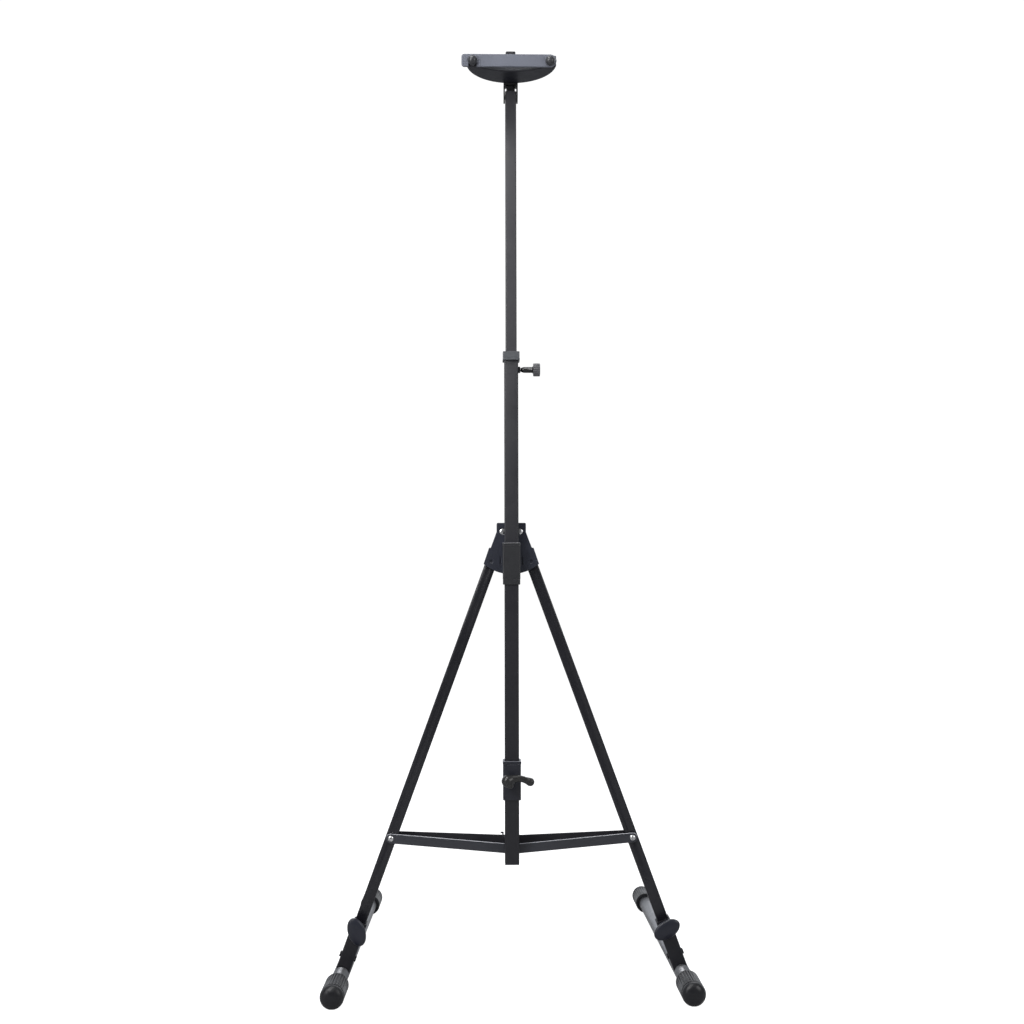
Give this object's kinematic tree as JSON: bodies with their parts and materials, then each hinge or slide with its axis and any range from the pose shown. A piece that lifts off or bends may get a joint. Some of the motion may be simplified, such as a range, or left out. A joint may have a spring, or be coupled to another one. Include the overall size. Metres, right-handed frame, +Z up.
{
  "type": "folding instrument stand",
  "caption": "Tall folding stand: telescopic square mast, braced A-frame legs on foot bars, tilting half-round cradle with a swinging latch bar.",
  "frame": {"origin": "on the floor, at the middle of the footprint of the four rubber caps", "axes": "+Z up along the mast, -Y towards the cradle's open front, X across the two legs"},
  "size_m": [0.5142, 0.521, 1.3355],
  "materials": {
    "black_paint": "satin black powder coat",
    "dark_plastic": "moulded, fine grain",
    "grey_plastic": "moulded, worn satin",
    "latch_grey": "satin grey",
    "rubber": "ribbed, satin",
    "liner_rubber": "soft, matte",
    "gloss_black": "gloss black",
    "silver": "bright plated"
  },
  "bodies": {
    "stand": {"outer_mast": "black_paint", "mast_end_plug": "dark_plastic", "top_collar": "dark_plastic", "knob_boss": "black_paint", "hub_front_plate": "dark_plastic", "hub_rear_plate": "dark_plastic", "hub_saddle": "dark_plastic", "hub_spacer": "dark_plastic", "hub_rivets": "silver"},
    "upper_mast": {"inner_mast": "black_paint", "mast_guide_bush": "dark_plastic", "mast_tongue": "black_paint", "tilt_pin": "silver"},
    "height_knob": {"height_knob": "grey_plastic", "height_knob_screw": "silver"},
    "head": {"head_bracket": "black_paint", "backrest_plate": "black_paint", "cradle_block": "dark_plastic", "cradle_liner": "liner_rubber", "cradle_studs": "dark_plastic", "cradle_screws": "silver"},
    "latch": {"latch_bar": "latch_grey"},
    "slider": {"slider_collar": "dark_plastic", "slider_cap": "dark_plastic", "slider_tail": "black_paint", "slider_pin": "silver", "slider_lug": "black_paint"},
    "slider_knob": {"slider_knob": "grey_plastic", "slider_knob_screw": "silver"},
    "leg_left": {"leg_left": "black_paint", "brace_rivet_left": "silver"},
    "brace_left": {"brace_left_front": "black_paint", "brace_left_rear": "black_paint", "brace_inner_rivet": "silver"},
    "sleeve_left": {"foot_sleeve_left": "black_paint", "sleeve_boss_left": "black_paint", "foot_bolt_left": "black_paint"},
    "oval_knob_left": {"oval_knob_left": "dark_plastic", "oval_knob_screw_left": "silver"},
    "foot_left": {"foot_tube_left": "gloss_black", "foot_lug_left": "black_paint", "foot_cap_front_left": "rubber", "foot_cap_rear_left": "rubber"},
    "leg_right": {"leg_right": "black_paint", "brace_rivet_right": "silver"},
    "brace_right": {"brace_right_front": "black_paint", "brace_right_rear": "black_paint"},
    "sleeve_right": {"foot_sleeve_right": "black_paint", "sleeve_boss_right": "black_paint", "foot_bolt_right": "black_paint"},
    "oval_knob_right": {"oval_knob_right": "dark_plastic", "oval_knob_screw_right": "silver"},
    "foot_right": {"foot_tube_right": "gloss_black", "foot_lug_right": "black_paint", "foot_cap_front_right": "rubber", "foot_cap_rear_right": "rubber"}
  },
  "joints": [
    {"name": "mast_extend", "type": "slide", "parent": "stand", "child": "upper_mast", "axis": [0, 0, 1], "range_m": [-0.355, 0.05]},
    {"name": "height_knob_turn", "type": "hinge", "parent": "stand", "child": "height_knob", "pos_m": [0, -0.1745, 0.8686], "axis": [1, 0, 0], "range_deg": [-180, 180]},
    {"name": "head_tilt", "type": "hinge", "parent": "upper_mast", "child": "head", "pos_m": [0, -0.1745, 1.268], "axis": [1, 0, 0], "range_deg": [-90, 90]},
    {"name": "latch_swing", "type": "hinge", "parent": "head", "child": "latch", "pos_m": [0.0545, -0.1745, 1.2934], "axis": [0, 1, 0], "range_deg": [0, 100]},
    {"name": "leg_fold", "type": "hinge", "parent": "stand", "child": "leg_left", "pos_m": [-0.0125, -0.152, 0.637], "axis": [0, -1, 0], "range_deg": [0, 17.5]},
    {"name": "leg_fold_right", "type": "hinge", "parent": "stand", "child": "leg_right", "pos_m": [0.0125, -0.152, 0.637], "axis": [0, 1, 0], "range_deg": [0, 17.5]},
    {"name": "brace_fold_left", "type": "hinge", "parent": "leg_left", "child": "brace_left", "pos_m": [-0.17098, -0.152, 0.20346], "axis": [0, -1, 0], "range_deg": [0, 66.43]},
    {"name": "brace_fold_right", "type": "hinge", "parent": "leg_right", "child": "brace_right", "pos_m": [0.17098, -0.152, 0.20346], "axis": [0, 1, 0], "range_deg": [0, 66.43]},
    {"name": "brace_slide", "type": "slide", "parent": "stand", "child": "slider", "axis": [0, 0, 1], "range_m": [0, 0.15617]},
    {"name": "slider_knob_turn", "type": "hinge", "parent": "slider", "child": "slider_knob", "pos_m": [0, -0.1745, 0.2898], "axis": [0, 1, 0], "range_deg": [-180, 180]},
    {"name": "sleeve_slide_left", "type": "slide", "parent": "leg_left", "child": "sleeve_left", "axis": [-0.3433, 0, -0.9392], "range_m": [0, 0.025]},
    {"name": "oval_knob_turn_left", "type": "hinge", "parent": "sleeve_left", "child": "oval_knob_left", "pos_m": [-0.21678, -0.152, 0.07817], "axis": [0, 1, 0], "range_deg": [-180, 180]},
    {"name": "foot_fold_left", "type": "hinge", "parent": "sleeve_left", "child": "foot_left", "pos_m": [-0.2312, -0.152, 0.03872], "axis": [0.9392, 0, -0.3433], "range_deg": [0, 85]},
    {"name": "sleeve_slide_right", "type": "slide", "parent": "leg_right", "child": "sleeve_right", "axis": [0.3433, 0, -0.9392], "range_m": [0, 0.025]},
    {"name": "oval_knob_turn_right", "type": "hinge", "parent": "sleeve_right", "child": "oval_knob_right", "pos_m": [0.21678, -0.152, 0.07817], "axis": [0, 1, 0], "range_deg": [-180, 180]},
    {"name": "foot_fold_right", "type": "hinge", "parent": "sleeve_right", "child": "foot_right", "pos_m": [0.2312, -0.152, 0.03872], "axis": [0.9392, 0, 0.3433], "range_deg": [0, 85]}
  ],
  "couplings": [
    {"joint": "leg_fold_right", "follows": "leg_fold", "ratio": 1},
    {"joint": "brace_fold_left", "follows": "leg_fold", "ratio": 3.7955},
    {"joint": "brace_fold_right", "follows": "leg_fold", "ratio": 3.7955},
    {"joint": "brace_slide", "follows": "leg_fold", "m_per_rad": 0.51099}
  ]
}
